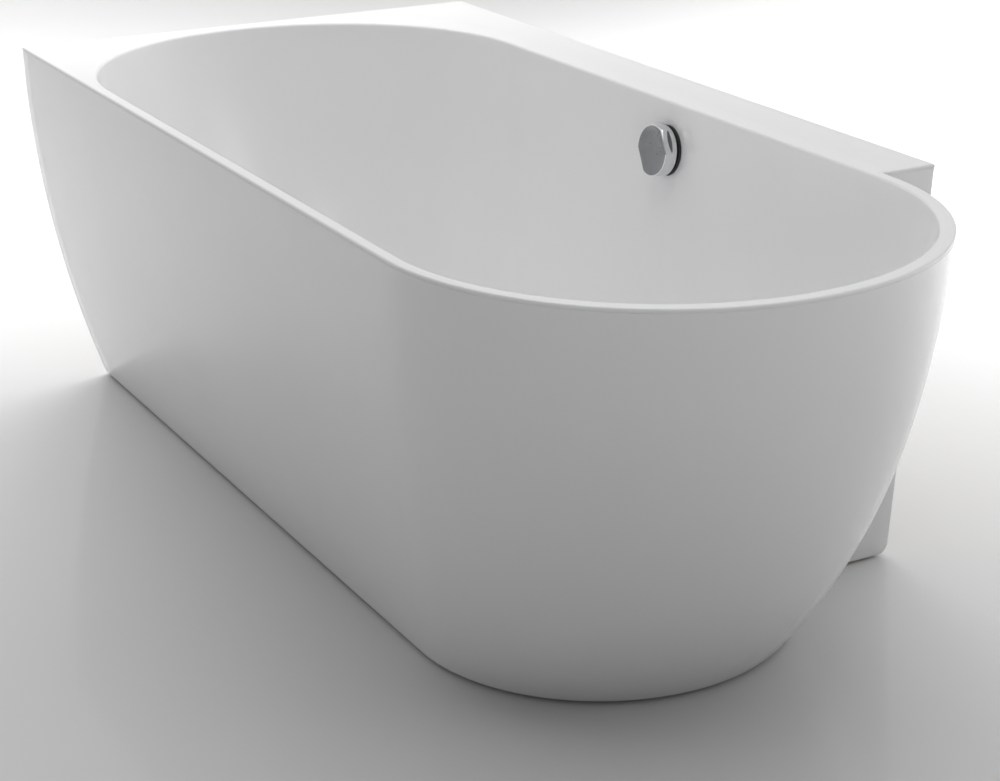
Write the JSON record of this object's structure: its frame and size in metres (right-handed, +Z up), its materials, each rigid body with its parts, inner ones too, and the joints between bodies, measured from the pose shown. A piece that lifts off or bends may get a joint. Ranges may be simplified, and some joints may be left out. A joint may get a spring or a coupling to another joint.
{
  "type": "back-to-wall freestanding bathtub",
  "caption": "Acrylic corner bath with a half-round free end, rear deck, glued skirt, steel cradle on levelling feet and a rotary pop-up waste.",
  "frame": {"origin": "centre of the bounding box at floor level", "axes": "+X along the bath to its half-round free end, +Y to the back wall, +Z up"},
  "size_m": [1.6996, 0.8, 0.58],
  "materials": {
    "acrylic": "high gloss white sanitary acrylic",
    "glass_fibre": "rough sprayed glass fibre and resin",
    "plywood": "sawn birch plywood",
    "chipboard": "resin-coated chipboard",
    "softwood": "planed softwood",
    "galvanised_steel": "galvanised",
    "zinc": "zinc plated",
    "chrome": "polished chrome",
    "brass": "turned",
    "white_plastic": "moulded polypropylene",
    "grey_plastic": "extruded polypropylene",
    "pad_plastic": "moulded nylon",
    "black_plastic": "moulded nylon",
    "rubber": "moulded rubber",
    "cable_sheath": "extruded sheath"
  },
  "bodies": {
    "bath": {"tub_shell": "acrylic", "outer_skirt": "acrylic", "fibreglass_backing": "glass_fibre", "skirt_fibreglass": "glass_fibre", "skirt_base_ring": "plywood", "base_board": "chipboard", "rear_batten": "softwood", "side_batten": "softwood", "cradle_bar_left": "galvanised_steel", "cradle_bar_middle": "galvanised_steel", "cradle_bar_right": "galvanised_steel", "skirt_bracket_left": "galvanised_steel", "skirt_bracket_middle": "galvanised_steel", "skirt_bracket_right": "galvanised_steel", "skirt_bracket_end": "galvanised_steel", "wall_bracket_rear_left": "galvanised_steel", "wall_bracket_rear_right": "galvanised_steel", "wall_bracket_side": "galvanised_steel", "bar_screws": "zinc", "skirt_bracket_screws": "zinc", "wall_bracket_screws": "zinc", "overflow_screws": "zinc", "foot_weld_nuts": "zinc", "foot_lock_nuts": "zinc", "overflow_rosette": "black_plastic", "waste_flange": "chrome", "lever_pin": "brass", "overflow_seal": "rubber", "waste_top_seal": "rubber", "waste_bottom_seal": "rubber", "trap_seal": "rubber", "outlet_seal": "rubber", "overflow_housing": "white_plastic", "waste_body": "white_plastic", "trap_bowl": "white_plastic", "trap_nut": "white_plastic", "outlet_nut": "white_plastic", "hose_nuts": "white_plastic", "outlet_pipe": "grey_plastic", "overflow_hose": "grey_plastic", "control_cable": "cable_sheath"},
    "knob": {"overflow_knob": "chrome", "knob_grub_screw": "zinc", "overflow_spindle": "brass"},
    "lever": {"plug_lever": "white_plastic"},
    "plug": {"plug_cap": "chrome", "plug_seal": "rubber", "plug_stem": "brass"},
    "foot_left_front": {"foot_stem_left_front": "zinc", "foot_pad_left_front": "pad_plastic"},
    "foot_left_rear": {"foot_stem_left_rear": "zinc", "foot_pad_left_rear": "pad_plastic"},
    "foot_middle_front": {"foot_stem_middle_front": "zinc", "foot_pad_middle_front": "pad_plastic"},
    "foot_middle_rear": {"foot_stem_middle_rear": "zinc", "foot_pad_middle_rear": "pad_plastic"},
    "foot_right_front": {"foot_stem_right_front": "zinc", "foot_pad_right_front": "pad_plastic"},
    "foot_right_rear": {"foot_stem_right_rear": "zinc", "foot_pad_right_rear": "pad_plastic"}
  },
  "joints": [
    {"name": "knob_turn", "type": "hinge", "parent": "bath", "child": "knob", "pos_m": [0.005, 0.2903, 0.509], "axis": [0, -0.9931, 0.117], "range_deg": [0, 90]},
    {"name": "lever_tilt", "type": "hinge", "parent": "bath", "child": "lever", "pos_m": [0.021, -0.0425, 0.076], "axis": [0, 1, 0], "range_deg": [0, 34.5]},
    {"name": "plug_lift", "type": "slide", "parent": "bath", "child": "plug", "axis": [0, 0, 1], "range_m": [0, 0.0091]},
    {"name": "foot_left_front_height", "type": "slide", "parent": "bath", "child": "foot_left_front", "axis": [0, 0, -1], "range_m": [-0.003, 0.015]},
    {"name": "foot_left_rear_height", "type": "slide", "parent": "bath", "child": "foot_left_rear", "axis": [0, 0, -1], "range_m": [-0.003, 0.015]},
    {"name": "foot_middle_front_height", "type": "slide", "parent": "bath", "child": "foot_middle_front", "axis": [0, 0, -1], "range_m": [-0.003, 0.015]},
    {"name": "foot_middle_rear_height", "type": "slide", "parent": "bath", "child": "foot_middle_rear", "axis": [0, 0, -1], "range_m": [-0.003, 0.015]},
    {"name": "foot_right_front_height", "type": "slide", "parent": "bath", "child": "foot_right_front", "axis": [0, 0, -1], "range_m": [-0.003, 0.015]},
    {"name": "foot_right_rear_height", "type": "slide", "parent": "bath", "child": "foot_right_rear", "axis": [0, 0, -1], "range_m": [-0.003, 0.015]}
  ],
  "couplings": [
    {"joint": "lever_tilt", "follows": "knob_turn", "ratio": 0.37778},
    {"joint": "plug_lift", "follows": "knob_turn", "m_per_rad": 0.0057296}
  ]
}
